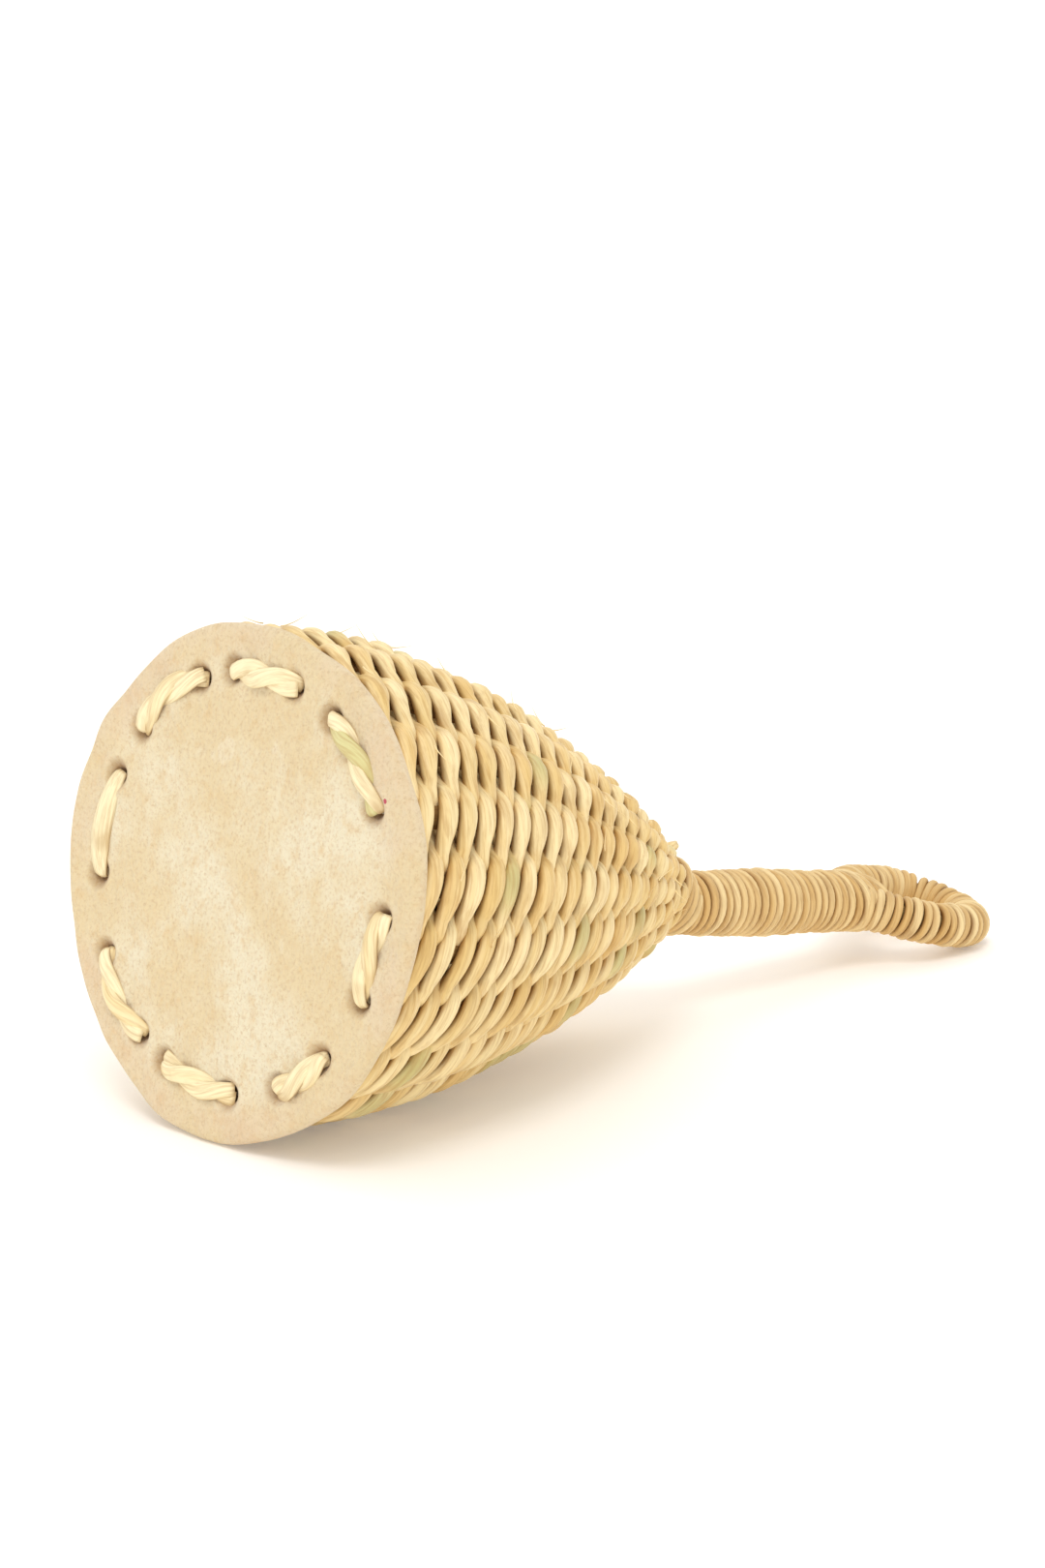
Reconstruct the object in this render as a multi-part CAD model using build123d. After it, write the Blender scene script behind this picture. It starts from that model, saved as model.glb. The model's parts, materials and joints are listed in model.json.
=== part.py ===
from build123d import *
from math import atan2, cos, degrees, hypot, pi, radians, sin, tan
import os

# Hand rattle: a pear-shaped basket twined from grass, closed by a disc of hide, with a bound
# handle that ends in a hanging loop, lying on its side. Millimetres, +Z up.
# The body frame has +X along the basket's axis, from the hide's face to the loop, and +Z up.
# It is turned about Y at the end, so that the belly and the loop's tip both rest on the floor.

# ---- driving dimensions ----------------------------------------------------------------
hide_radius = 46.0
hide_thickness = 3.0
hide_edge_round = 1.2
groove_depth = 0.8           # the stitches draw the hide in, all the way round
groove_margin = 2.2          # groove beyond the stitch, on each side
stitch_inset = 8.8           # the stitch circle lies this far in from the hide's edge
stitch_diameter = 2.4
stitch_corner_radius = 1.3
stitch_tail = 0.4            # how far a stitch stands out behind the hide
stitch_middles = (128, 88, 44, -11, -54, -97, -137, 173)    # degrees from the near side, over
stitch_spans = (28, 25, 29, 23, 19, 28, 26, 29)             # degrees round the stitch circle

row_count = 20
row_pitch = 5.4
row_gap = 0.3                # between one row and the next
hide_gap = 0.7               # between the hide and the first row
hide_overhang = 0.8          # the hide covers the weave and stands out this far
neck_radius = 8.6            # outside of the weave at the neck
belly_power = 1.83           # the outline is 1 - t^belly_power, raised to end_power
end_power = 1.06
mouth_lift = 1.0             # the basket's middle line starts this far above the hide's
neck_droop = 1.9             # and has sagged this far below the axis at the neck
handle_droop = 5.1           # the handle leaves the neck this far below the axis

stake_count = 18
stake_diameter = 1.8
strand_diameter = 2.7
weave_clearance = 0.25       # between a stake and the strands on each side of it
stake_points = 8

bundle_diameter = 4.8        # the grass core, doubled over in the handle
bundle_gap = 0.2             # between the two legs of the core
wrap_clearance = 0.1
handle_wrap_thickness = 1.4
loop_wrap_thickness = 2.0
overall_length = 204.3       # hide's face to the loop's tip, along the axis
loop_length = 35.3           # back from the tip to where the core's legs part
loop_shoulder = 21.3         # back from the tip to where they run level again
wrap_setback = 7.0           # the handle's wrap stops this far before they part
loop_radius = 10.7           # middle of the bound strand, round the loop's end
crotch_bend = 18.0
shoulder_bend = 13.0
loop_pitch = 3.8             # degrees that the loop bends down from the handle
loop_roll = 11.4             # degrees that the loop is turned about the handle
core_tail = 8.0              # the returning leg stops this far from the neck
binding_length = 3.0
binding_thickness = 2.4
piece_gap = 0.4              # end to end, between pieces along the handle

stub_length = 4.0
stub_lean = 12.0             # degrees up from the axis

seed_count = 8
seed_diameter = 4.6
seed_spacing = 9.0           # degrees round the wall
seed_clearance = 0.6
seed_start = 10.0
seed_stagger = 7.0
seed_travel = 30.0

# ---- values worked out from them -------------------------------------------------------
mouth_radius = hide_radius - hide_overhang
stitch_circle_radius = hide_radius - stitch_inset
groove_width = stitch_diameter + 2 * groove_margin
weave_start = hide_thickness + hide_gap
weave_end = weave_start + row_count * row_pitch
bundle_radius = bundle_diameter / 2
leg_offset = bundle_radius + bundle_gap / 2
loop_strand_radius = bundle_radius + wrap_clearance + loop_wrap_thickness
crotch_station = overall_length - loop_length
shoulder_station = overall_length - loop_shoulder
tip_station = overall_length - loop_strand_radius
tip_centre = tip_station - loop_radius
wall_thickness = 2 * strand_diameter + stake_diameter + 2 * weave_clearance


def weave_radius(station):
    """Outer radius of the weave at a distance from the hide's face."""
    t = min(max((station - weave_start) / (weave_end - weave_start), 0.0), 1.0)
    return neck_radius + (mouth_radius - neck_radius) * (1 - t ** belly_power) ** end_power


def weave_slope(station):
    """Angle in degrees at which the outline closes in there."""
    step = row_pitch / 4
    fall = weave_radius(station - step) - weave_radius(station + step)
    return degrees(atan2(fall, 2 * step))


def droop(station):
    """How far the basket's middle line lies below the hide's axis there."""
    share = min(station / weave_end, 1.0) ** 2
    return (neck_droop + mouth_lift) * share - mouth_lift


def wall_point(station, angle, depth):
    """A point in the wall, depth in from the weave's outside, in the body frame."""
    slope = radians(weave_slope(station))
    radius = weave_radius(station) - depth * cos(slope)
    along = station - depth * sin(slope)
    turn = radians(angle)
    return Vector(along, -radius * cos(turn), radius * sin(turn) - droop(station))


def handle_point(station, side):
    """A point of the core's middle line; side is positive towards the near side, -Y."""
    drop = handle_droop + tan(radians(loop_pitch)) * max(station - crotch_station, 0.0)
    turn = radians(loop_roll)
    return Vector(station, -side * cos(turn), -drop - side * sin(turn))


def tube(points, bends, section):
    """A closed section swept along straight runs joined by tangent arcs."""
    path = FilletPolyline(*points, radius=bends)
    start = Plane(path @ 0, z_dir=path % 0)
    return sweep(start * section, path=path)


# ---- the pieces, in the body frame -----------------------------------------------------
def stitch_path(middle, span):
    """Out through one hole, across the hide in the groove, and back through the other."""
    front = groove_depth - wrap_clearance - stitch_diameter / 2
    back = hide_thickness + stitch_tail
    ends = []
    for angle in (middle - span / 2, middle + span / 2):
        turn = radians(angle)
        ends.append((-stitch_circle_radius * cos(turn), stitch_circle_radius * sin(turn)))
    return [(back, *ends[0]), (front, *ends[0]), (front, *ends[1]), (back, *ends[1])]


def base_stitch(middle, span):
    bends = [stitch_corner_radius, stitch_corner_radius]
    return tube(stitch_path(middle, span), bends, Circle(stitch_diameter / 2))


def hide_base():
    """The disc of hide, drawn in along the stitch circle and pierced for every stitch."""
    disc = Cylinder(hide_radius, hide_thickness, align=(Align.CENTER, Align.CENTER, Align.MIN))
    disc = fillet(disc.edges().filter_by(GeomType.CIRCLE), hide_edge_round)
    groove = Cylinder(stitch_circle_radius + groove_width / 2, groove_depth)
    groove -= Cylinder(stitch_circle_radius - groove_width / 2, groove_depth)
    disc -= Pos(0, 0, groove_depth / 2) * groove
    disc = Plane.YZ * disc
    hole = Cylinder(stitch_diameter / 2 + wrap_clearance, 4 * hide_thickness)
    for middle, span in zip(stitch_middles, stitch_spans):
        path = stitch_path(middle, span)
        for point in (path[0], path[-1]):
            disc -= Plane((0, point[1], point[2]), z_dir=(1, 0, 0)) * hole
    return disc


def row_width(station, depth):
    """How wide a row can be at that depth in the wall, up to the rows beside it."""
    before = wall_point(station - row_pitch / 2, -90, depth)
    after = wall_point(station + row_pitch / 2, -90, depth)
    return (after - before).length - row_gap


def weft_row(number):
    """One twined row: the strand outside the stakes and the strand inside them."""
    station = weave_start + (number - 0.5) * row_pitch
    slope = weave_slope(station)
    centre = Plane((0, 0, -droop(station)), x_dir=(1, 0, 0), z_dir=(0, -1, 0))
    axis = Axis((0, 0, -droop(station)), (1, 0, 0))
    strands = []
    for depth in (strand_diameter / 2, wall_thickness - strand_diameter / 2):
        point = wall_point(station, 90, depth)
        radius = point.Z + droop(station)
        width = row_width(station, depth)
        reach = radius - strand_diameter / 2 - width / 2 * sin(radians(slope))
        if reach > strand_diameter / 2:
            section = RectangleRounded(width, strand_diameter, strand_diameter / 2 - row_gap / 4)
            place = Pos(point.X, radius) * Rot(0, 0, -slope)
            strands.append(revolve(centre * (place * section), axis=axis))
    return Compound(strands)


def stake_end():
    """The station where the stakes have drawn together until they all but touch."""
    station = weave_end - row_pitch / 2
    closest = stake_count * (stake_diameter + weave_clearance)
    while 2 * pi * (wall_point(station, 90, wall_thickness / 2).Z + droop(station)) < closest:
        station -= row_gap
    return station


def stakes():
    """The upright stakes that the rows are twined round, from the hide to the neck."""
    first = weave_start + stake_diameter / 2
    last = stake_end()
    middle = wall_thickness / 2
    rods = []
    for number in range(stake_count):
        angle = 360 * (number + 0.5) / stake_count
        points = []
        for step in range(stake_points):
            station = first + (last - first) * step / (stake_points - 1)
            points.append(wall_point(station, angle, middle))
        bends = [4 * row_pitch] * (stake_points - 2)
        rods.append(tube(points, bends, Circle(stake_diameter / 2)))
    return Compound(rods)


def stake_stub():
    """The cut end of one stake, which stands out over the neck."""
    rise = neck_radius - stake_diameter / 2 - neck_droop
    foot = Vector(weave_end + piece_gap, 0, rise)
    lean = radians(stub_lean)
    rod = Cylinder(stake_diameter / 2, stub_length, align=(Align.CENTER, Align.CENTER, Align.MIN))
    return Plane(foot, z_dir=(cos(lean), 0, sin(lean))) * rod


def sleeve(first, last, outer, inner):
    """A plain tube round the handle's middle line."""
    ring = Cylinder(outer, last - first) - Cylinder(inner, last - first)
    return Plane(((first + last) / 2, 0, -handle_droop), z_dir=(1, 0, 0)) * ring


handle_bore = leg_offset + bundle_radius + wrap_clearance
binding_start = weave_end + piece_gap
handle_start = binding_start + binding_length + piece_gap


def neck_binding():
    return sleeve(binding_start, binding_start + binding_length, handle_bore + binding_thickness, handle_bore)


def handle_wrap():
    handle_end = crotch_station - wrap_setback
    return sleeve(handle_start, handle_end, handle_bore + handle_wrap_thickness, handle_bore)


def loop_core():
    """The grass bundle: up the handle, round the loop and back down beside itself."""
    points = [handle_point(binding_start, -leg_offset)]
    points.append(handle_point(crotch_station, -leg_offset))
    for side in (-loop_radius, loop_radius):
        pair = [handle_point(shoulder_station, side), handle_point(tip_station, side)]
        points.extend(pair if side < 0 else reversed(pair))
    points.append(handle_point(crotch_station, leg_offset))
    points.append(handle_point(handle_start + core_tail, leg_offset))
    tip_bend = loop_radius - bundle_gap
    bends = [crotch_bend, shoulder_bend, tip_bend, tip_bend, shoulder_bend, crotch_bend]
    return tube(points, bends, Circle(bundle_radius))


def loop_wrap():
    """The binding round the loop, from where its two legs part."""
    share = (loop_strand_radius + piece_gap - leg_offset) / (loop_radius - leg_offset)
    share += loop_strand_radius * 0.25 / (shoulder_station - crotch_station)
    starts = []
    for side in (-1, 1):
        crotch = handle_point(crotch_station, side * leg_offset)
        shoulder = handle_point(shoulder_station, side * loop_radius)
        starts.append(crotch + (shoulder - crotch) * share)
    points = [starts[0]]
    points.append(handle_point(shoulder_station, -loop_radius))
    points.append(handle_point(tip_station, -loop_radius))
    points.append(handle_point(tip_station, loop_radius))
    points.append(handle_point(shoulder_station, loop_radius))
    points.append(starts[1])
    tip_bend = loop_radius - bundle_gap
    bends = [shoulder_bend, tip_bend, tip_bend, shoulder_bend]
    ring = Circle(loop_strand_radius) - Circle(bundle_radius + wrap_clearance)
    return tube(points, bends, ring)


def seed_place(number, travel):
    """Where a seed's middle is, resting on the inside of the wall."""
    angle = -90 + seed_spacing * (number - (seed_count - 1) / 2)
    station = seed_start + seed_stagger * (number % 2) + travel
    depth = wall_thickness + seed_clearance + seed_diameter / 2
    return wall_point(station, angle, depth)


def seed(number):
    return Pos(*seed_place(number, 0)) * Sphere(seed_diameter / 2)


# ---- standing on the floor -------------------------------------------------------------
def belly_depth(tilt):
    """How far the weave reaches below the hide's centre with the axis tilted."""
    depths = []
    for number in range(1, row_count + 1):
        station = weave_start + (number - 0.5) * row_pitch
        slope = radians(weave_slope(station))
        point = wall_point(station, -90, strand_diameter / 2)
        half = row_width(station, strand_diameter / 2) / 2 - strand_diameter / 2
        for end in (-half, half):
            along = point.X + end * cos(slope)
            below = -point.Z - end * sin(slope)
            depths.append(along * sin(tilt) + below * cos(tilt) + strand_diameter / 2)
    return max(depths)


def tip_depth(tilt):
    """How far the loop's end reaches below the hide's centre with the axis tilted."""
    centre = handle_point(tip_centre, 0)
    fall = sin(tilt) + tan(radians(loop_pitch)) * cos(tilt)
    swing = loop_radius * hypot(fall, sin(radians(loop_roll)) * cos(tilt))
    return centre.X * sin(tilt) - centre.Z * cos(tilt) + swing + loop_strand_radius


def resting_tilt():
    """The tilt at which the belly and the loop's end reach equally low."""
    low, high = 0.0, radians(45)
    for _ in range(40):
        tilt = (low + high) / 2
        if tip_depth(tilt) < belly_depth(tilt):
            low = tilt
        else:
            high = tilt
    return tilt


# ---- build, place and write ------------------------------------------------------------
pieces = {"hide_base": hide_base()}
for count, (middle, span) in enumerate(zip(stitch_middles, stitch_spans), 1):
    pieces[f"base_stitch_{count}"] = base_stitch(middle, span)
for number in range(1, row_count + 1):
    pieces[f"weft_row_{number:02d}"] = weft_row(number)
pieces["stakes"] = stakes()
pieces["stake_stub"] = stake_stub()
pieces["neck_binding"] = neck_binding()
pieces["handle_wrap"] = handle_wrap()
pieces["loop_core"] = loop_core()
pieces["loop_wrap"] = loop_wrap()
for number in range(seed_count):
    pieces[f"seed_{number + 1}"] = seed(number)

tilt = resting_tilt()
turn = Rot(0, degrees(tilt), 0)
laid = {name: turn * piece for name, piece in pieces.items()}
boxes = [piece.bounding_box() for piece in laid.values()]
low = [min(getattr(box.min, side) for box in boxes) for side in "XYZ"]
high = [max(getattr(box.max, side) for box in boxes) for side in "XYZ"]
shift = Pos(-(low[0] + high[0]) / 2, -(low[1] + high[1]) / 2, -low[2])

os.makedirs("parts", exist_ok=True)
for name, piece in laid.items():
    export_step(shift * piece, f"parts/{name}.step")


def report(label, point):
    """Print a body-frame point as it lies in the finished part."""
    spot = (shift * turn * Pos(*point)).position
    print(label, [round(value, 3) for value in spot])


size = [round(top - bottom, 2) for top, bottom in zip(high, low)]
print("tilt", round(degrees(tilt), 3), "size", size)
report("hide centre", (0, 0, 0))
report("loop centre", handle_point(tip_centre, 0))
report("axis end", (100, 0, 0))
for number in range(seed_count):
    report(f"seed {number + 1} rest", seed_place(number, 0))
    report(f"seed {number + 1} end", seed_place(number, seed_travel))
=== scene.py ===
import bpy
import json
import numpy as np
from math import cos, pi, radians, sin, tan
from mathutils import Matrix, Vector


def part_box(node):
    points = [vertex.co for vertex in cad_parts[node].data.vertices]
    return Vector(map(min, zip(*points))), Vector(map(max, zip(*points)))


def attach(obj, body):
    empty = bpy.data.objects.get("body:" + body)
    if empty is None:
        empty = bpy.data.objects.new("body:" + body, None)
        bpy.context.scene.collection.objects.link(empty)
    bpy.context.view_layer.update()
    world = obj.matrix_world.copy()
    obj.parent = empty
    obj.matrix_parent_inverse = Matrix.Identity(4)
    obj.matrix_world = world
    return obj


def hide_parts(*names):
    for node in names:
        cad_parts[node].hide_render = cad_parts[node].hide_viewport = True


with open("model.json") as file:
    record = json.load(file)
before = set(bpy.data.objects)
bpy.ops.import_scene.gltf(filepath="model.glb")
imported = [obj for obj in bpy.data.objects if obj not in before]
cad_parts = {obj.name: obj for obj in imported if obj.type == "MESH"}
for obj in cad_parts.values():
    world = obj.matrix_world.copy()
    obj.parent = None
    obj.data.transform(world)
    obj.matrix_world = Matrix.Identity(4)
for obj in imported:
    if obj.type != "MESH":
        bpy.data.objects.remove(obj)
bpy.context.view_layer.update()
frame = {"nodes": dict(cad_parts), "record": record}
scene = bpy.context.scene

# ---- camera, floor and light -----------------------------------------------------------
# The rattle lies on a white table, lit softly from above and a little from below. Its hide disc
# faces the viewer's left, and the camera looks down on it a little. Lengths are metres in this
# section, and millimetres below.
face = next(m for m in frame["record"]["mounts"] if m["name"] == "base_face")
disc_centre = np.array(face["pos_m"])
along = -np.array(face["axis"])                    # basket axis, hide to loop
near = np.array([0.0, -1.0, 0.0])                  # level, towards the near side
over = np.cross(along, near) * -1                  # square to both, upward

camera_data = bpy.data.cameras.new("camera")
camera_data.lens = 100
camera_data.sensor_width = 36
camera = bpy.data.objects.new("camera", camera_data)
camera.location = (disc_centre[0] - 0.4826, -0.5603, disc_centre[2] + 0.1881)
heading, look_down = radians(45.34), radians(13.01)
camera.rotation_euler = (pi / 2 - look_down, 0, heading - pi / 2)
scene.collection.objects.link(camera)
scene.camera = camera


def linear(hex_colour):
    """An sRGB hex colour as the linear RGBA that shaders take."""
    channels = [int(hex_colour[i:i + 2], 16) / 255 for i in (1, 3, 5)]
    return tuple(c / 12.92 if c < 0.04045 else ((c + 0.055) / 1.055) ** 2.4 for c in channels) + (1,)


def add_node(tree, kind, settings=None, **links):
    """Adds a node. Settings are its properties or socket values. Links feed its sockets, by name
    or, as _0 and _1, by number."""
    node = tree.nodes.new(kind)
    for name, value in (settings or {}).items():
        if hasattr(node, name):
            setattr(node, name, value)
        else:
            node.inputs[name].default_value = value
    for name, source in links.items():
        key = int(name[1:]) if name[1:].isdigit() else name.replace("_", " ")
        tree.links.new(source, node.inputs[key])
    return node


def new_material(name, colour, roughness, specular=0.5):
    """A material with one Principled shader, its tree and that shader."""
    material = bpy.data.materials.new(name)
    material.use_nodes = True
    shader = material.node_tree.nodes["Principled BSDF"]
    shader.inputs["Base Color"].default_value = linear(colour)
    shader.inputs["Roughness"].default_value = roughness
    shader.inputs["Specular IOR Level"].default_value = specular
    return material, material.node_tree, shader


floor_material, _, floor_shader = new_material("backlit_white_table", "#F8F5F0", 0.9, 0.2)
floor_shader.inputs["Emission Color"].default_value = linear("#FFFCF8")
floor_shader.inputs["Emission Strength"].default_value = 0.16
floor_mesh = bpy.data.meshes.new("table")
reach = 6.0
floor_mesh.from_pydata([(-reach, -reach, 0), (reach, -reach, 0), (reach, reach, 0), (-reach, reach, 0)],
                       [], [(0, 1, 2, 3)])
floor_mesh.materials.append(floor_material)
table = bpy.data.objects.new("table", floor_mesh)
scene.collection.objects.link(table)

world = bpy.data.worlds.new("soft_white_room")
world.use_nodes = True
world.node_tree.nodes["Background"].inputs["Color"].default_value = linear("#FFFFFF")
world.node_tree.nodes["Background"].inputs["Strength"].default_value = 0.9
scene.world = world
scene.view_settings.view_transform = "Standard"


def sun_light(name, place, strength, spread):
    """A broad far light from the direction of a place, with its spread in degrees."""
    data = bpy.data.lights.new(name, "SUN")
    data.energy = strength
    data.angle = radians(spread)
    lamp = bpy.data.objects.new(name, data)
    lamp.rotation_euler = (-Vector(place)).to_track_quat("-Z", "Y").to_euler()
    scene.collection.objects.link(lamp)


sun_light("key", (-0.45, -0.35, 1.0), 0.75, 22)
sun_light("back", (0.4, 0.7, 1.2), 0.35, 35)

# ---- woven body: twined rows of grass strands ------------------------------------------
# Each row is a pair of twisted grass strands that change places between every two stakes, one in
# front and one behind. The outline swells from the hide and closes in to the neck. A few frayed
# ends stand off the upper side.
HIDE_THICKNESS, HIDE_GAP = 3.0, 0.7
ROWS = sum(name.startswith("weft_row_") for name in frame["nodes"])
WEAVE_LENGTH = 108.0
ROW_PITCH = WEAVE_LENGTH / ROWS
MOUTH_RADIUS, NECK_RADIUS = 45.2, 8.6
BELLY_POWER, END_POWER = 1.83, 1.06
MOUTH_LIFT, NECK_DROOP = 1.0, 1.9
STAKES = 22                     # the look needs more than the 18 plain rods of the CAD solid
STAKE_DIAMETER, STRAND = 1.8, ROW_PITCH / 2
WALL = 2 * STRAND + STAKE_DIAMETER + 0.5
WEAVE_START = HIDE_THICKNESS + HIDE_GAP
WEAVE_END = WEAVE_START + WEAVE_LENGTH
rng = np.random.default_rng(7)


def to_world(points):
    """Body-frame millimetres (along, near, over), from the hide's middle, as metres."""
    points = np.asarray(points) / 1000
    return disc_centre + points[..., :1] * along + points[..., 1:2] * near + points[..., 2:] * over


def weave_radius(station):
    """Outer radius of the weave at a distance from the hide's face."""
    t = np.clip((station - WEAVE_START) / (WEAVE_END - WEAVE_START), 0, 1)
    return NECK_RADIUS + (MOUTH_RADIUS - NECK_RADIUS) * (1 - t ** BELLY_POWER) ** END_POWER


def wall_point(station, angle, depth):
    """Points in the wall, depth in from its outside. Angle 0 is the near side, 90 degrees the top."""
    step = ROW_PITCH / 4
    slope = np.arctan2(weave_radius(station - step) - weave_radius(station + step), 2 * step)
    radius = weave_radius(station) - depth * np.cos(slope)
    droop = (NECK_DROOP + MOUTH_LIFT) * np.minimum(station / WEAVE_END, 1) ** 2 - MOUTH_LIFT
    return np.stack([station - depth * np.sin(slope) + 0 * angle,
                     radius * np.cos(angle), radius * np.sin(angle) - droop], -1)


def frames_along(points):
    """Tangents and two side directions that turn as little as they can along a line."""
    tangents = np.vstack([points[1:], points[-1:]]) - np.vstack([points[:1], points[:-1]])
    tangents /= np.linalg.norm(tangents, axis=1)[:, None]
    side = np.cross(tangents[0], (0.3, 0.2, 0.9))
    sides = []
    for tangent in tangents:
        side = side - tangent * side.dot(tangent)
        side = side / np.linalg.norm(side)
        sides.append(side)
    sides = np.array(sides)
    return tangents, sides, np.cross(tangents, sides)


def new_piece(name, verts, faces, material, smooth=True, **layers):
    """A mesh piece from body-frame points, with its float or vector layers."""
    mesh = bpy.data.meshes.new(name)
    mesh.from_pydata(to_world(verts).tolist(), [], faces)
    for label, values in layers.items():
        vector = np.ndim(values) == 2
        layer = mesh.attributes.new(label, "FLOAT_VECTOR" if vector else "FLOAT", "POINT")
        layer.data.foreach_set("vector" if vector else "value", np.asarray(values, np.float32).ravel())
    if smooth:
        mesh.shade_smooth()
    mesh.materials.append(material)
    piece = bpy.data.objects.new(name, mesh)
    scene.collection.objects.link(piece)
    return piece


def place(piece, body, slot, *nodes):
    """Says which body a piece rides on and which nodes it stands for. Its slot is not used."""
    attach(piece, body)
    if nodes:
        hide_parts(*nodes)


def strand_mesh(name, lines, material, sides=14):
    """One mesh of several strands. A line has points in the body frame and a radius, and may have
    out (where its flat side faces), flat (thickness over width), blades, twist_mm, lobe_depth,
    tone, green and browning_and_painted_shade (how far round from its inner face painted shade
    reaches, for a line with out). Strands have closed blunt ends."""
    verts, faces, grain, tones, greens, inward = [], [], [], [], [], []
    offset = 0
    turn = np.arange(sides) * 2 * pi / sides
    for line in lines:
        points = np.asarray(line["points"], float)
        count = len(points)
        tangents, side_a, side_b = frames_along(points)
        if "out" in line:
            out = line["out"] - tangents * (line["out"] * tangents).sum(1)[:, None]
            side_b = out / np.linalg.norm(out, axis=1)[:, None]
            side_a = np.cross(side_b, tangents)
        run = np.concatenate([[0], np.cumsum(np.linalg.norm(np.diff(points, axis=0), axis=1))])
        radius = np.broadcast_to(line["radius"], count)[:, None]
        twist = run / line.get("twist_mm", 22) * 2 * pi + line.get("start", 0)
        swing = turn[None, :] - twist[:, None]
        ridge = 1 + line.get("lobe_depth", 0.12) * (np.abs(np.cos(swing * line.get("blades", 3) / 2)) - 0.6)
        width = radius * ridge
        flat = np.broadcast_to(line.get("flat", 1.0), count)[:, None]
        ring = (points[:, None, :] + (width * np.cos(turn))[..., None] * side_a[:, None, :]
                + (width * flat * np.sin(turn))[..., None] * side_b[:, None, :])
        verts.append(ring.reshape(-1, 3))
        along_mm = np.repeat(run[:, None], sides, 1) + line.get("offset", 0)
        spun = np.stack([along_mm, radius * np.cos(swing), radius * np.sin(swing)], -1)
        grain.append(spun.reshape(-1, 3))
        tones.append(np.repeat(np.broadcast_to(line.get("tone", 0.5), count), sides))
        greens.append(np.repeat(np.broadcast_to(line.get("green", 0.0), count), sides))
        # Painted shade: a strand with out is coloured darker on its sides and back, most on its inner face.
        facing = np.clip(line.get("browning_and_painted_shade", 0.5) - np.sin(turn), 0, 1) if "out" in line else 0 * turn
        inward.append(np.tile(facing, count))
        i = offset + np.arange(count - 1)[:, None] * sides
        j = np.arange(sides)[None, :]
        k = (j + 1) % sides
        faces += np.stack([i + j, i + k, i + sides + k, i + sides + j], -1).reshape(-1, 4).tolist()
        faces.append((offset + np.arange(sides))[::-1].tolist())
        faces.append((offset + (count - 1) * sides + np.arange(sides)).tolist())
        offset += count * sides
    return new_piece(name, np.concatenate(verts), faces, material, grain=np.concatenate(grain),
                     tone=np.concatenate(tones), green=np.concatenate(greens),
                     inward=np.concatenate(inward))


def mix_colours(tree, share, below, above):
    """Mixes two colours by a share; each is a socket or a hex value."""
    node = add_node(tree, "ShaderNodeMix", {"data_type": "RGBA"})
    for index, value in ((0, share), (6, below), (7, above)):
        if isinstance(value, str):
            node.inputs[index].default_value = linear(value)
        elif isinstance(value, float):
            node.inputs[index].default_value = value
        else:
            tree.links.new(value, node.inputs[index])
    return node.outputs[2]


def noise(tree, vector, scale, detail, roughness=0.5):
    """Fractal noise over a vector; scale is features per unit of that vector."""
    settings = {"Scale": scale, "Detail": detail, "Roughness": roughness}
    return add_node(tree, "ShaderNodeTexNoise", settings, Vector=vector).outputs["Fac"]


def ranged(tree, value, low, high, to_low=0.0, to_high=1.0):
    """A value stretched from low..high to to_low..to_high, and held at the ends."""
    settings = {"From Min": low, "From Max": high, "To Min": to_low, "To Max": to_high}
    return add_node(tree, "ShaderNodeMapRange", settings, Value=value).outputs[0]


def layer_value(tree, name):
    """The value of a mesh layer at the shaded point."""
    return add_node(tree, "ShaderNodeAttribute", {"attribute_name": name}).outputs["Fac"]


def grass(name, pale, warm, dark, green="#BDBB7C", shade="#8A5612", roughness=0.48,
          ridge=0.22, fibre_mm=0.3):
    """Dried grass blades, twisted into a strand. Fine long streaks run along it; each strand has
    its own tone, and some blades stay greenish. The fibres are drawn 0.3 mm wide so they show."""
    material, tree, shader = new_material(name, pale, roughness, 0.4)
    grain = add_node(tree, "ShaderNodeAttribute", {"attribute_name": "grain"}).outputs["Vector"]
    stretched = add_node(tree, "ShaderNodeMapping", {"Scale": (0.06, 1, 1)}, Vector=grain).outputs[0]
    fibres = noise(tree, stretched, 0.5 / fibre_mm, 3.0, 0.65)
    blades = noise(tree, stretched, 0.55, 2.0)
    blotch = noise(tree, grain, 0.12, 3.0)
    mixed = add_node(tree, "ShaderNodeMath", {"operation": "ADD"}, _0=layer_value(tree, "tone"),
                     _1=blades).outputs[0]
    colour = mix_colours(tree, ranged(tree, mixed, 0.72, 1.28), warm, pale)
    colour = mix_colours(tree, layer_value(tree, "green"), colour, green)
    colour = mix_colours(tree, ranged(tree, fibres, 0.36, 0.56, 0.38, 0.0), colour, dark)
    colour = mix_colours(tree, ranged(tree, blotch, 0.56, 0.74, 0.0, 0.4), colour, dark)
    # Painted shade: each strand's sides and back are mixed towards the shade colour.
    crevice = ranged(tree, layer_value(tree, "inward"), 0.1, 0.95, 0.0, 0.8)
    colour = mix_colours(tree, crevice, colour, shade)
    tree.links.new(colour, shader.inputs["Base Color"])
    bump = add_node(tree, "ShaderNodeBump", {"Strength": ridge, "Distance": 0.0005}, Height=fibres)
    tree.links.new(bump.outputs["Normal"], shader.inputs["Normal"])
    return material


weft_grass = grass("twisted_dried_grass", "#FCE6B0", "#E8C580", "#B07C34")
SAMPLES = 16                    # points along a strand, stake to stake
TUCK = 0.55                     # each stitch lies highest a little before its middle, in radians
END_SHARE, MIDDLE_SHARE = 0.25, 0.115       # of the row pitch: a stitch's half width, and its swell
SLANT_SHARE = 0.41              # of the row pitch: how far a stitch runs to each side of its row
OUTWARD, INWARD = 1.6, 2.2      # how far a strand leaves the middle of the wall, each way
MERGED_SIZE = 0.78              # of the last two rows, which are finer


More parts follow.
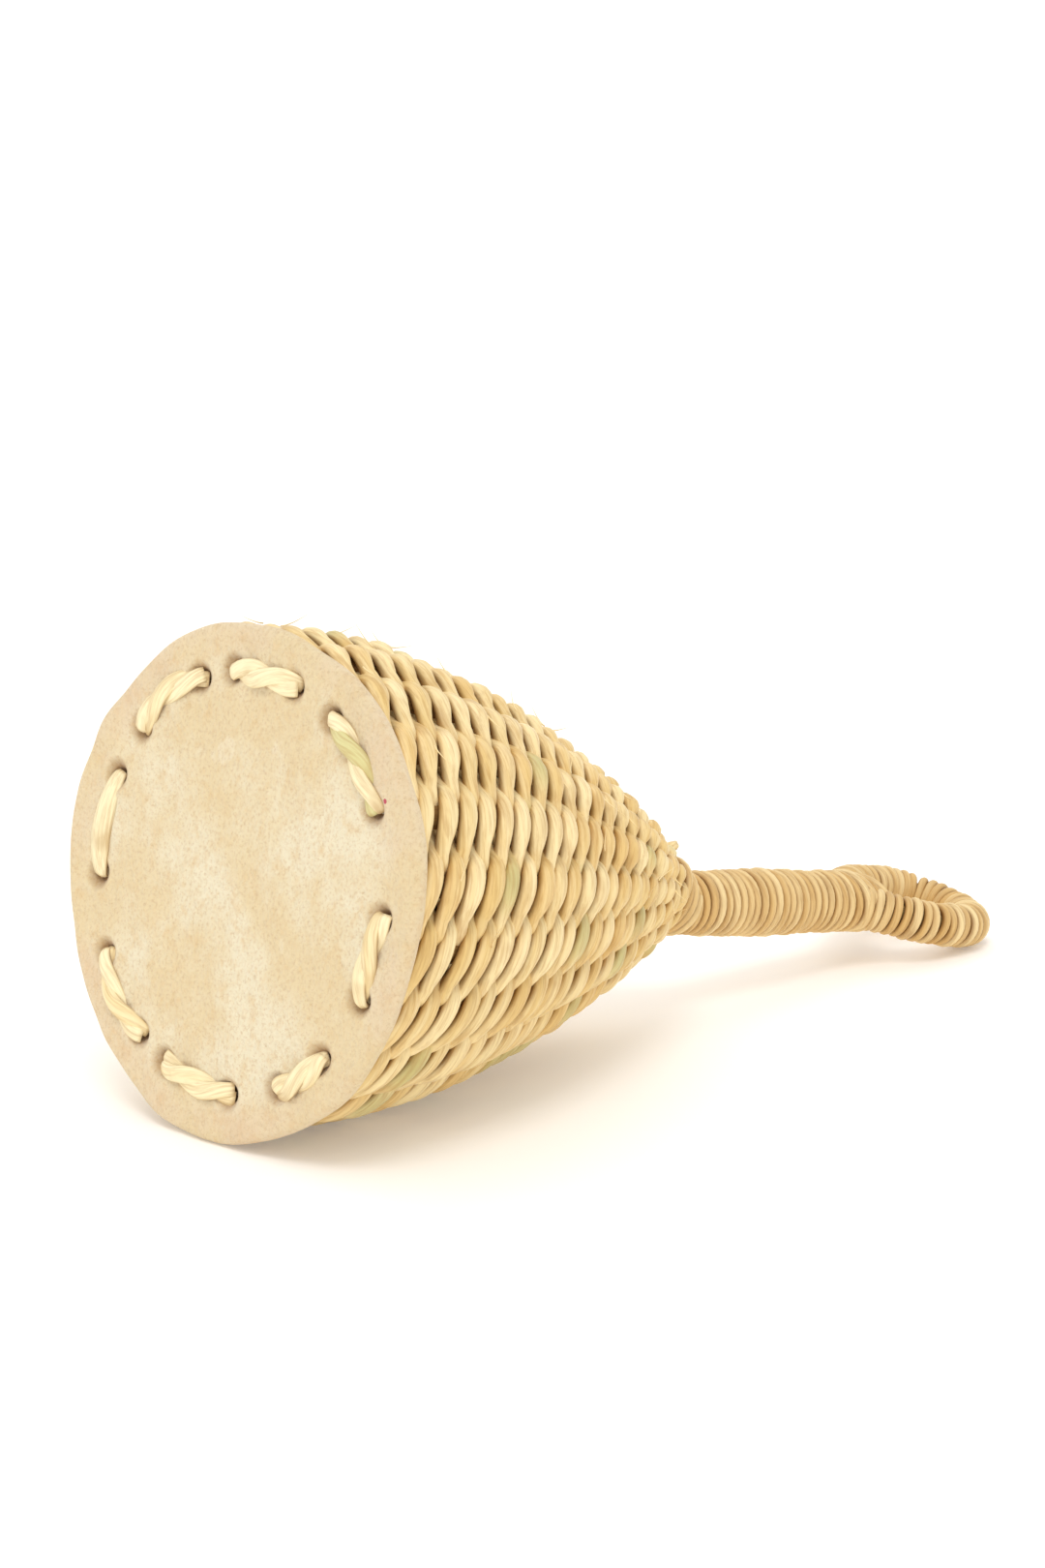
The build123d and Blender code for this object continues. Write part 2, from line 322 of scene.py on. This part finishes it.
def weft_strands(number):
    """Both strands of one row, as lines for strand_mesh."""
    merged = number > ROWS - 2                          # the stakes run in pairs near the neck
    stakes = STAKES // 2 if merged else STAKES
    centre = WEAVE_START + (number - 0.5) * ROW_PITCH
    angles = np.linspace(0, 2 * pi, stakes * SAMPLES + 1) - pi / 2
    phase = angles * stakes / 2 - (0 if merged else pi / 2)
    lines = []
    for strand in range(2):
        theta = phase + strand * pi
        front = np.cos(theta)
        slots = np.floor((theta + pi / 2) / pi).astype(int)
        slots -= slots.min()
        each = rng.normal(0, 1, (5, slots.max() + 2))[:, slots] * np.abs(front) ** 0.5
        swell = np.abs(front) ** 1.2
        size = MERGED_SIZE if merged else 1.0
        thick = size * ROW_PITCH * (END_SHARE + MIDDLE_SHARE * swell) * (1 + 0.07 * each[0])
        lifted = np.cos(theta + TUCK)
        reach = np.where(lifted > 0, OUTWARD, INWARD) * size
        depth = WALL / 2 - 0.7 - reach * lifted * (1 + 0.06 * each[1]) + 0.12 * each[2]
        station = centre + SLANT_SHARE * ROW_PITCH * np.sin(theta) + 0.2 * each[3]
        points = wall_point(station, angles, depth)
        out = wall_point(station, angles, depth - 1) - points
        tone = np.clip(0.5 + 0.12 * rng.normal() + 0.1 * each[4], 0, 1)
        green = 0.6 * (rng.random(slots.max() + 2) < 0.06)[slots] * swell + 0.08 * rng.random()
        lines.append(dict(points=points, radius=thick, out=out, flat=0.95 - 0.27 * swell, tone=tone,
                          green=green, twist_mm=rng.uniform(45, 70), start=rng.uniform(0, 6),
                          offset=rng.uniform(0, 900), lobe_depth=0.09, blades=5))
    for _ in range(rng.integers(1, 5)):                 # frayed ends that stand off the weave
        angle, reach = rng.uniform(-0.3, pi + 0.3), rng.uniform(1.2, 3.0)
        share = np.linspace(0, 1, 8)
        stations = centre + rng.normal(0, 1.6) * share
        turned = angle + rng.choice([-1, 1]) * 0.12 * share
        path = wall_point(stations, turned, 0.6 - reach * share ** 1.6)
        lines.append(dict(points=path, radius=0.13 * (1.1 - share), tone=0.9))
    return lines


for number in range(1, ROWS + 1):
    row = strand_mesh(f"twined_row_{number:02d}", weft_strands(number), weft_grass)
    place(row, "basket", "weft_grass", f"weft_row_{number:02d}")

# ---- stakes ----------------------------------------------------------------------------
# Flattened bundles of stiff straw that run from the hide to the neck inside the weave. They
# show only in the slits between the rows, and their straw is coloured darker than the weave's as painted
# shade for those slits.
painted_shade_straw = grass("stiff_straw_stakes_painted_shade", "#9C763F", "#7A5526", "#4E3010", roughness=0.7)
stake_lines = []
for number in range(STAKES):
    angle = 2 * pi * (number + 0.5) / STAKES
    station = np.linspace(WEAVE_START + 1, WEAVE_END - 3, 40)
    points = wall_point(station, angle + 0 * station, WALL / 2 + 0 * station)
    out = wall_point(station, angle + 0 * station, WALL / 2 - 1 + 0 * station) - points
    width = np.minimum(2.3, weave_radius(station) * 0.12)
    stake_lines.append(dict(points=points, radius=width, out=out, flat=0.5, tone=rng.uniform(0.2, 0.8),
                            twist_mm=400, blades=5, offset=rng.uniform(0, 500)))
stakes = strand_mesh("stake_bundles", stake_lines, painted_shade_straw, sides=12)
place(stakes, "basket", "stake_grass", "stakes")

stub_foot = np.array([WEAVE_END - 1.5, 0.0, NECK_RADIUS - STAKE_DIAMETER / 2 - NECK_DROOP])
STUB_LEAN = radians(12)
stub_way = np.array([cos(STUB_LEAN), 0, sin(STUB_LEAN)])
stub_points = [stub_foot + stub_way * step for step in (0, 1, 2, 3)]
stub_line = dict(points=stub_points, radius=STAKE_DIAMETER / 2, blades=5, lobe_depth=0.2)
stub = strand_mesh("cut_stake_end", [stub_line], weft_grass)
place(stub, "basket", "stake_grass", "stake_stub")

# ---- hide disc -------------------------------------------------------------------------
# A disc of goat hide, scraped and dried flat, so its face is matt and suede-like. It is pierced
# near the rim for the grass stitches, which pull it in and leave puckered, browned holes.
HIDE_RADIUS, STITCH_CIRCLE = 46.0, 37.2
STITCH_MIDDLES = (128, 88, 44, -11, -54, -97, -137, 173)
STITCH_SPANS = (28, 25, 29, 23, 19, 28, 26, 29)


def disc_spot(angle, radius=STITCH_CIRCLE):
    """A place on the hide as (near, over), for an angle in degrees."""
    return np.array([cos(radians(angle)), sin(radians(angle))]) * radius


PUCKER, PUCKER_REACH = 2.4, 1.7               # depth and radius of the pit at each hole
DIMPLE, DIMPLE_REACH = 0.8, 4.8               # and of the wide dimple round it
LIP, LIP_REACH, LIP_WIDTH = 0.35, 3.4, 1.1    # and of the raised lip between them
holes = [disc_spot(middle + side * span / 2) for middle, span in zip(STITCH_MIDDLES, STITCH_SPANS)
         for side in (-1, 1)]
waves = [(rng.uniform(0.02, 0.12), rng.uniform(0, 2 * pi), rng.uniform(0, 2 * pi)) for _ in range(14)]


def roll(x, y):
    """Slow unevenness of the dried hide, about -1 to 1."""
    total = sum(np.sin(2 * pi * rate * (x * cos(head) + y * sin(head)) + start)
                for rate, head, start in waves)
    return total / 4


def hide_front(x, y):
    """How far the face is pushed in, and how near a hole it is, from 0 to 1."""
    push = 0.26 * roll(x, y)
    near_hole = np.zeros_like(x)
    for hole in holes:
        away = np.hypot(x - hole[0], y - hole[1])
        push = push + PUCKER * np.exp(-(away / PUCKER_REACH) ** 2)
        push = push + DIMPLE * np.exp(-(away / DIMPLE_REACH) ** 2)
        push = push - LIP * np.exp(-((away - LIP_REACH) / LIP_WIDTH) ** 2)
        near_hole = np.maximum(near_hole, np.exp(-(away / 3.0) ** 2))
    return push, near_hole


AROUND = 420
spin = np.arange(AROUND) * 2 * pi / AROUND
edge = HIDE_RADIUS - 0.3 + sum(0.36 * np.sin(k * spin + rng.uniform(0, 6)) / (k / 4)
                               for k in (3, 5, 7, 11, 17))
FLAT_SHARE = 0.965              # of the radius, where the rounded edge begins
levels = np.concatenate([np.linspace(0.02, 0.7, 26), np.linspace(0.71, FLAT_SHARE, 46)])
rings, hole_layer = [], []
for level in levels:
    x, y = level * edge * np.cos(spin), level * edge * np.sin(spin)
    push, near_hole = hide_front(x, y)
    rings.append(np.stack([push + 0.05, x, y], -1))
    hole_layer.append(near_hole)
rim_push = rings[-1][:, 0]
for share in np.linspace(0.1, 1, 9):                    # the cut edge, rounded over
    lean = share * pi
    level = FLAT_SHARE + (1 - FLAT_SHARE) * sin(lean) ** 0.6
    depth = rim_push * (1 - share) + HIDE_THICKNESS * (1 - cos(lean)) / 2 * (1 + 0.05 * np.sin(9 * spin))
    rings.append(np.stack([depth, level * edge * np.cos(spin), level * edge * np.sin(spin)], -1))
    hole_layer.append(0 * spin)
for level in (0.6, 0.02):
    x, y = level * edge * np.cos(spin), level * edge * np.sin(spin)
    rings.append(np.stack([HIDE_THICKNESS + 0 * spin, x, y], -1))
    hole_layer.append(0 * spin)
hide_verts = np.concatenate(rings)
hide_faces = []
for ring in range(len(rings) - 1):
    i, j = ring * AROUND, np.arange(AROUND)
    k = (j + 1) % AROUND
    hide_faces += np.stack([i + j, i + AROUND + j, i + AROUND + k, i + k], -1).tolist()
hide_faces.append(np.arange(AROUND).tolist())
hide_faces.append(((len(rings) - 1) * AROUND + np.arange(AROUND))[::-1].tolist())

hide, tree, shader = new_material("dried_goat_hide", "#F6E4BC", 0.85, 0.2)
shader.inputs["Sheen Weight"].default_value = 0.25
shader.inputs["Sheen Roughness"].default_value = 0.6
spot = add_node(tree, "ShaderNodeAttribute", {"attribute_name": "grain"}).outputs["Vector"]
patch = noise(tree, spot, 0.05, 5.0, 0.6)
nap = noise(tree, spot, 1.6, 6.0, 0.75)
pores = add_node(tree, "ShaderNodeTexVoronoi", {"Scale": 0.9}, Vector=spot).outputs["Distance"]
warp = add_node(tree, "ShaderNodeTexNoise", {"Scale": 0.06, "Detail": 3.0}, Vector=spot)
bent = add_node(tree, "ShaderNodeVectorMath", {"operation": "MULTIPLY_ADD"}, _0=warp.outputs["Color"],
                _2=spot)
bent.inputs[1].default_value = (26, 26, 26)
vein_settings = {"Scale": 0.022, "Distortion": 3.0, "Detail": 2.0, "Detail Scale": 0.4}
veins = add_node(tree, "ShaderNodeTexWave", vein_settings, Vector=bent.outputs[0]).outputs["Fac"]
colour = mix_colours(tree, ranged(tree, patch, 0.42, 0.6), "#F0DAAD", "#F8EBCA")
mottled = ranged(tree, noise(tree, spot, 0.3, 5.0, 0.7), 0.5, 0.72, 0.0, 0.6)
colour = mix_colours(tree, mottled, colour, "#E8C48A")
blush = add_node(tree, "ShaderNodeMath", {"operation": "MULTIPLY"}, _0=layer_value(tree, "rim"),
                 _1=patch).outputs[0]
colour = mix_colours(tree, ranged(tree, blush, 0.4, 0.68, 0.0, 0.65), colour, "#E4BC8C")
colour = mix_colours(tree, ranged(tree, veins, 0.975, 1.0, 0.0, 0.45), colour, "#FFF3D6")
colour = mix_colours(tree, ranged(tree, nap, 0.5, 0.34, 0.0, 0.7), colour, "#D9B888")
browning_and_painted_shade = ranged(tree, layer_value(tree, "hole"), 0.25, 0.9, 0.0, 0.85)
colour = mix_colours(tree, browning_and_painted_shade, colour, "#A06A2A")
DYE_SPOT, DYE_RADIUS = (0, 35.5, 20.2), 0.45      # a tiny fleck of red dye
dye = add_node(tree, "ShaderNodeVectorMath", {"operation": "DISTANCE"}, _0=spot)
dye.inputs[1].default_value = DYE_SPOT
dyed = add_node(tree, "ShaderNodeMath", {"operation": "LESS_THAN"}, _0=dye.outputs["Value"])
dyed.inputs[1].default_value = DYE_RADIUS
colour = mix_colours(tree, dyed.outputs[0], colour, "#C8485A")
tree.links.new(colour, shader.inputs["Base Color"])
height = add_node(tree, "ShaderNodeMath", {"operation": "ADD"}, _0=nap, _1=pores).outputs[0]
bump = add_node(tree, "ShaderNodeBump", {"Strength": 0.9, "Distance": 0.0004}, Height=height)
tree.links.new(bump.outputs["Normal"], shader.inputs["Normal"])

rim_layer = np.clip((np.hypot(hide_verts[:, 1], hide_verts[:, 2]) - 24) / 18, 0, 1)
disc = new_piece("hide_disc", hide_verts, hide_faces, hide, grain=hide_verts, rim=rim_layer,
                 hole=np.concatenate(hole_layer))
place(disc, "basket", "hide", "hide_base")

# ---- stitches --------------------------------------------------------------------------
# Each stitch is two blades of grass twisted together, out through one hole and in through the
# next, pulled tight. One is a single broad blade, left flat.
stitch_grass = grass("stitching_grass", "#FFF0C4", "#F0D496", "#B4863E", green="#CFCB86", roughness=0.4)
BROAD, GREENISH = 8, 3
STITCH_POINTS = 40
for number, (middle, span) in enumerate(zip(STITCH_MIDDLES, STITCH_SPANS), 1):
    share = np.linspace(0, 1, STITCH_POINTS)
    angles = np.radians(middle + (share - 0.5) * (span + 1.5))
    height = -1.7 * np.sin(pi * share) ** 0.45 + 1.7
    bow = 0.8 * np.sin(pi * share) * (1 if number % 2 else -0.6)
    circle = STITCH_CIRCLE + bow
    spine = np.stack([height, circle * np.cos(angles), circle * np.sin(angles)], -1)
    lines = []
    if number == BROAD:
        taper = 1.2 + 1.3 * np.sin(pi * share) ** 0.6
        lines.append(dict(points=spine, radius=taper, out=np.tile([-1.0, 0, 0], (STITCH_POINTS, 1)),
                          flat=0.32, tone=0.85, blades=6, twist_mm=300, lobe_depth=0.2))
    else:
        turns = rng.uniform(0.8, 1.3)
        for strand in range(2):
            wind = 2 * pi * turns * share + strand * pi + number
            radial = np.stack([0 * wind, np.cos(angles), np.sin(angles)], -1)
            points = spine + 0.85 * np.cos(wind)[:, None] * radial
            points[:, 0] -= 0.55 * (np.sin(wind) + 0.2)
            lines.append(dict(points=points, radius=1.4 + 0.3 * np.sin(pi * share), flat=0.5, blades=4,
                              out=np.tile([-1.0, 0.01, 0], (STITCH_POINTS, 1)),
                              tone=rng.uniform(0.5, 0.95), twist_mm=50,
                              green=0.7 * (number == GREENISH and strand == 0), offset=rng.uniform(0, 300)))
    stitch = strand_mesh(f"grass_stitch_{number}", lines, stitch_grass)
    place(stitch, "basket", "stitch_grass", f"base_stitch_{number}")

# ---- handle ----------------------------------------------------------------------------
# The stakes' tails are doubled over into a core, and a single grass cord is wound round it turn
# by turn, from the neck to where the loop parts. The turns vary a little in slant and width.
HANDLE_DROOP, HANDLE_RADIUS, TURN_PITCH = 5.1, 6.4, 2.05
CROTCH, OVERALL = 169.0, 204.3
LOOP_RADIUS, LEG_OFFSET, STRAND_RADIUS = 10.7, 2.5, 4.5
LOOP_PITCH, LOOP_ROLL = radians(3.8), radians(11.4)
COIL_START, COIL_JOIN = WEAVE_END - 3.2, WEAVE_END + 3.6


def handle_point(station, side):
    """Points of the core's middle line; side is towards the near side."""
    drop = HANDLE_DROOP + tan(LOOP_PITCH) * np.maximum(station - CROTCH, 0)
    sideways = side * cos(LOOP_ROLL) + 0 * station
    return np.stack([station + 0 * side, sideways, -drop - side * sin(LOOP_ROLL)], -1)


def wound_cord(path, half_width, half_height, pitch, width, start=0.0, slant=0.5):
    """A cord wound round a path, as one line. Its turns drift in pitch, slant and width."""
    run = np.concatenate([[0], np.cumsum(np.linalg.norm(np.diff(path, axis=0), axis=1))])
    turns = run[-1] / pitch
    count = int(turns * 26)
    wind = np.linspace(0, turns * 2 * pi, count)
    which = wind / (2 * pi)
    drift = np.interp(which, np.arange(int(turns) + 3), rng.normal(0, 0.07, int(turns) + 3))
    lean = np.interp(which, np.arange(int(turns) + 3), rng.normal(slant, 0.35, int(turns) + 3))
    fat = np.interp(which, np.arange(int(turns) + 3), rng.normal(0, 1, int(turns) + 3))
    at = np.clip(which * pitch + drift * pitch + 0.5 * lean * np.sin(wind + start), 0, run[-1])
    tangents, side_a, side_b = frames_along(path)
    pick = [np.interp(at, run, path[:, axis]) for axis in range(3)]
    centre = np.stack(pick, -1)
    a = np.stack([np.interp(at, run, side_a[:, axis]) for axis in range(3)], -1)
    b = np.stack([np.interp(at, run, side_b[:, axis]) for axis in range(3)], -1)
    across, up = np.cos(wind + start)[:, None] * a, np.sin(wind + start)[:, None] * b
    out = across + up
    wide = np.interp(at, run, half_width)[:, None]
    high = np.interp(at, run, half_height)[:, None]
    swell = 1 + 0.025 * fat[:, None]
    points = centre + swell * (wide * across + high * up)
    tone = np.clip(0.5 + 0.15 * fat + 0.12 * np.sin(wind * 0.37), 0, 1)
    # The cord's turns get heavy painted shade on their sides and inner faces, which draws dark lines
    # between turns.
    return dict(points=points, radius=width * (1 + 0.05 * fat), out=out, flat=0.95, tone=tone, twist_mm=45,
                blades=4, lobe_depth=0.06, browning_and_painted_shade=0.95, offset=rng.uniform(0, 500))


wrap_grass = grass("wound_grass_cord", "#F2D8A0", "#D9B270", "#A06E2C", green="#B9B57A", roughness=0.55)
CORD = 0.98


def level_path(station, droop):
    """A path along the basket's axis that lies a given distance below it."""
    return np.stack([station, 0 * station, -droop + 0 * station], -1)


station = np.linspace(COIL_START, COIL_JOIN, 30)
blend = (station - COIL_START) / (COIL_JOIN - COIL_START)
neck_path = level_path(station, NECK_DROOP + (HANDLE_DROOP - NECK_DROOP) * blend ** 0.7)
neck_wide = 7.4 + (HANDLE_RADIUS - CORD - 7.4) * blend
neck_cord = wound_cord(neck_path, neck_wide, neck_wide, 2.1, CORD)
neck_turns = strand_mesh("neck_binding_turns", [neck_cord], wrap_grass)
place(neck_turns, "basket", "wrap_grass", "neck_binding")

station = np.linspace(COIL_JOIN, CROTCH + 4.5, 120)
handle_path = level_path(station, HANDLE_DROOP)
swell = 0.35 * np.exp(-((station - 138) / 12) ** 2)
spread = np.clip((station - 158) / 15, 0, 1) ** 1.5 * 2.6
handle_size = HANDLE_RADIUS - CORD + swell
handle_turns = wound_cord(handle_path, handle_size + spread, handle_size - 0.45 * spread, TURN_PITCH,
                          CORD)
handle_coil = strand_mesh("handle_coil", [handle_turns], wrap_grass)
place(handle_coil, "basket", "wrap_grass", "handle_wrap")

# ---- hanging loop ----------------------------------------------------------------------
# The doubled core opens into a drop-shaped eye, and the same cord is wound round it all the way
# back to the handle.
tip_centre = OVERALL - STRAND_RADIUS - LOOP_RADIUS
lean = np.linspace(-pi / 2, pi / 2, 40)
leg = np.linspace(0, 1, 30)[:, None]
leg_stations = CROTCH - 3 + (tip_centre - CROTCH + 3) * leg[:, 0]
opening = np.sin(np.clip((leg_stations - CROTCH + 4) / 19, 0, 1) * pi / 2) ** 1.2
leg_sides = LEG_OFFSET + (LOOP_RADIUS - LEG_OFFSET) * opening
bend = handle_point(tip_centre + LOOP_RADIUS * np.cos(lean), LOOP_RADIUS * np.sin(lean))
loop_path = np.concatenate([handle_point(leg_stations, -leg_sides)[:-1], bend,
                            handle_point(leg_stations, leg_sides)[::-1][1:]])
loop_size = np.full(len(loop_path), STRAND_RADIUS - CORD)
loop_turns = wound_cord(loop_path, loop_size, loop_size, 2.05, CORD, slant=0.3)
loop_coil = strand_mesh("loop_coil", [loop_turns], wrap_grass)
place(loop_coil, "basket", "wrap_grass", "loop_wrap")

core_grass = grass("core_straw", "#CDAF72", "#A98548", "#6E4C22", roughness=0.6)
CORE_RADIUS = 2.4
core_legs = [dict(points=loop_path, radius=CORE_RADIUS, blades=7, twist_mm=90, lobe_depth=0.2)]
for side in (-1, 1):
    station = np.linspace(WEAVE_END + 1, CROTCH, 30)
    leg_points = handle_point(station, side * LEG_OFFSET + 0 * station)
    core_legs.append(dict(points=leg_points, radius=CORE_RADIUS, blades=7, twist_mm=90, lobe_depth=0.2))
core = strand_mesh("doubled_core", core_legs, core_grass)
place(core, "basket", "stake_grass", "loop_core")

# ---- seeds -----------------------------------------------------------------------------
# Hard round seeds lie loose inside the basket and make its sound. Their coats are smooth, brown
# and slightly uneven, with a paler scar.
seed_coat, tree, shader = new_material("smooth_seed_coat", "#5A4030", 0.35)
spot = add_node(tree, "ShaderNodeTexCoord").outputs["Object"]
mottle = noise(tree, spot, 900.0, 3.0)
tree.links.new(mix_colours(tree, mottle, "#3E2A1E", "#7C5A40"), shader.inputs["Base Color"])
for node in sorted(name for name in frame["nodes"] if name.startswith("seed_")):
    low, high = (np.array(corner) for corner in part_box(node))
    middle, radius = (low + high) / 2, (high - low)[0] / 2
    mesh = bpy.data.meshes.new(f"{node}_bean")
    rows, columns = 14, 20
    up = np.linspace(0, pi, rows)[1:-1, None]
    turn = np.arange(columns)[None, :] * 2 * pi / columns
    shape = 0.96 + 0.03 * np.sin(3 * turn + rng.uniform(0, 6)) * np.sin(up)
    ball = np.stack([shape * np.sin(up) * np.cos(turn), shape * 0.94 * np.sin(up) * np.sin(turn),
                     0.97 * np.cos(up) + 0 * turn], -1).reshape(-1, 3)
    verts = middle + radius * np.concatenate([ball, [[0, 0, 0.97], [0, 0, -0.97]]])
    faces = []
    for row in range(rows - 3):
        for column in range(columns):
            after = (column + 1) % columns
            faces.append([row * columns + column, (row + 1) * columns + column,
                          (row + 1) * columns + after, row * columns + after])
    last = (rows - 3) * columns
    for column in range(columns):
        after = (column + 1) % columns
        faces.append([len(ball), column, after])
        faces.append([len(ball) + 1, last + after, last + column])
    mesh.from_pydata(verts.tolist(), [], faces)
    mesh.shade_smooth()
    mesh.materials.append(seed_coat)
    bean = bpy.data.objects.new(f"{node}_bean", mesh)
    scene.collection.objects.link(bean)
    place(bean, f"{node}_body", "seed", node)
